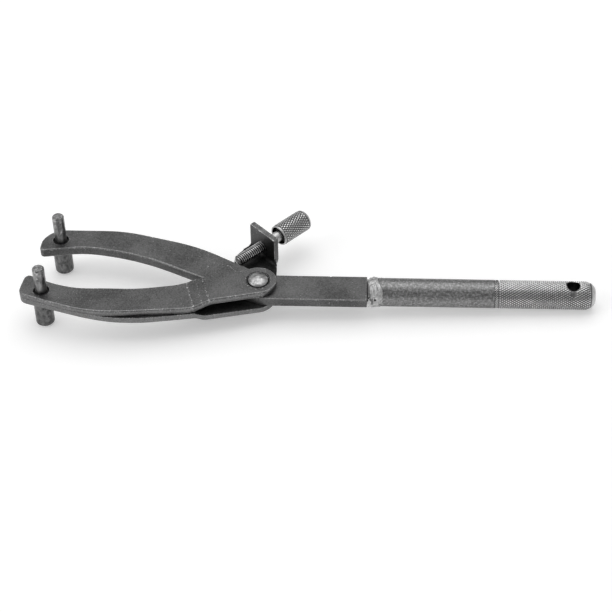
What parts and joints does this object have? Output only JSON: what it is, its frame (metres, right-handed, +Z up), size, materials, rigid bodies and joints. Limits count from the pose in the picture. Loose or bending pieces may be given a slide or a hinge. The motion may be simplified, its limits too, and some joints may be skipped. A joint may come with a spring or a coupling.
{
  "type": "adjustable pin wrench",
  "caption": "Adjustable holding wrench: a curved flat-bar jaw and a pivoted leaf jaw, each with a stepped pin, set by a thumbscrew, on a knurled round handle.",
  "frame": {"origin": "centre of the hang hole, on the round handle's axis", "axes": "+X along the handle away from the jaws, +Z up along the hang hole and the pivot, thin pins up; +Y towards the fixed jaw's side"},
  "size_m": [0.3125, 0.0819, 0.0408],
  "materials": {
    "dark_steel": "black oxide over rolled and stamped steel, worn bright along the edges",
    "rod_steel": "drawn round bar, dark oxide with faint long marks, fine diamond knurl",
    "weld_metal": "lumpy weld metal, lightly brushed",
    "rivet_steel": "hammered bright steel",
    "pin_steel": "ground steel, dark oxide",
    "screw_steel": "rolled thread, bright zinc",
    "knob_steel": "fine straight and diamond knurl, dull zinc"
  },
  "bodies": {
    "fixed_jaw": {"shank_jaw": "dark_steel", "handle_rod": "rod_steel", "weld_bead": "weld_metal", "fixed_jaw_pin": "pin_steel", "pivot_rivet": "rivet_steel"},
    "moving_jaw": {"upper_jaw_leaf": "dark_steel", "lower_jaw_leaf": "dark_steel", "moving_jaw_pin": "pin_steel"},
    "screw": {"adjusting_screw": "screw_steel"},
    "knob": {"screw_knob": "knob_steel"}
  },
  "joints": [
    {"name": "jaw_pivot", "type": "hinge", "parent": "fixed_jaw", "child": "moving_jaw", "pos_m": [-0.1706, 0.0013, 0], "axis": [0, 0, 1], "range_deg": [-4, 28]},
    {"name": "screw_travel", "type": "slide", "parent": "moving_jaw", "child": "screw", "axis": [0.7071, 0.7071, 0], "range_m": [-0.0016, 0.0102]},
    {"name": "knob_turn", "type": "hinge", "parent": "screw", "child": "knob", "pos_m": [-0.18531, 0.01601, 0.0034], "axis": [0.7071, 0.7071, 0], "range_deg": [-412, 2862]}
  ],
  "couplings": [
    {"joint": "screw_travel", "follows": "jaw_pivot", "m_per_rad": 0.0206},
    {"joint": "knob_turn", "follows": "jaw_pivot", "ratio": 101.92}
  ]
}
